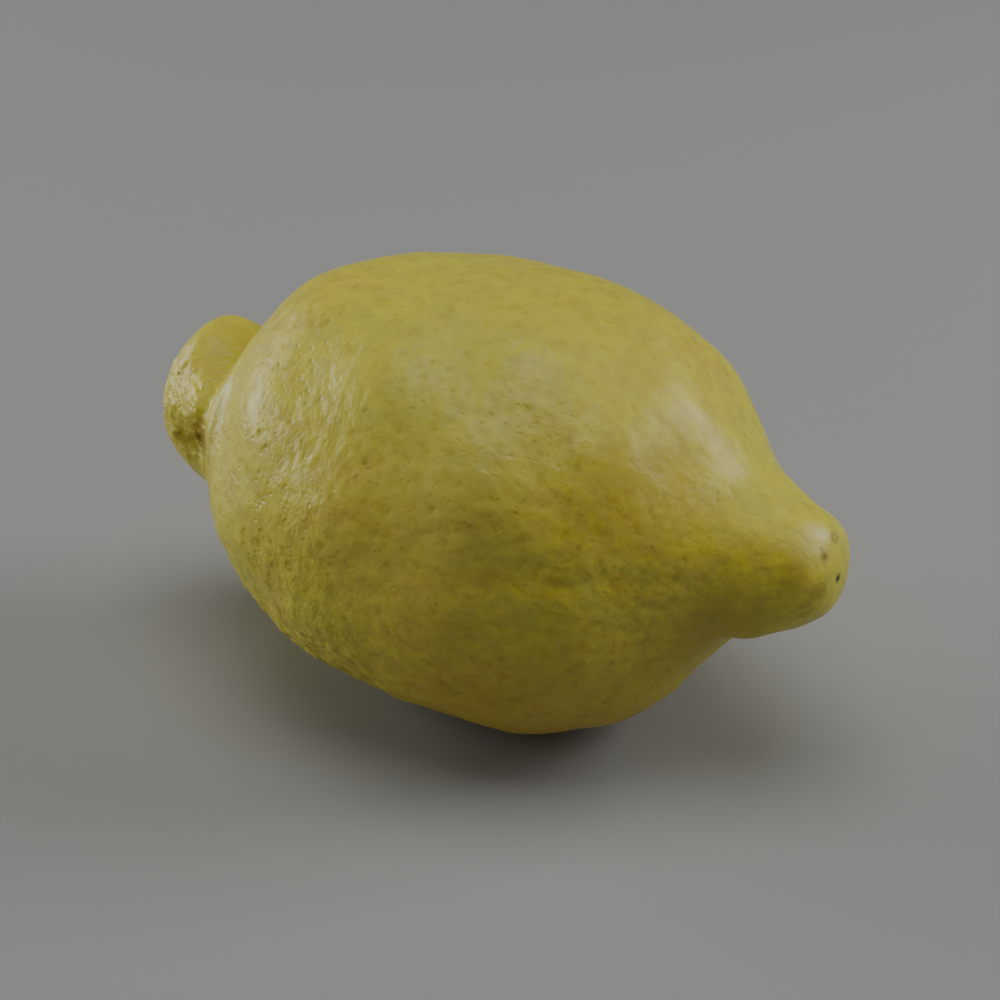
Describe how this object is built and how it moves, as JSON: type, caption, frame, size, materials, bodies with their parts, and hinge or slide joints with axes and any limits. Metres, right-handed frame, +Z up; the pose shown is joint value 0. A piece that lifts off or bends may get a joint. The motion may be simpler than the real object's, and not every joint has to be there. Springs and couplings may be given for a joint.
{
  "type": "lemon",
  "caption": "Whole lemon lying on its side, with a waisted collar at the stem end, a dried stem button and a blunt pointed nipple.",
  "frame": {"origin": "middle of the footprint of the fruit's box, on the surface it rests on", "axes": "+X along the fruit from the stem end to the nipple, +Z up"},
  "size_m": [0.101, 0.062, 0.0617],
  "materials": {
    "peel": "satin",
    "dried_stem": "matte"
  },
  "bodies": {
    "root": {"fruit": "peel", "stem_button": "dried_stem"}
  },
  "joints": []
}
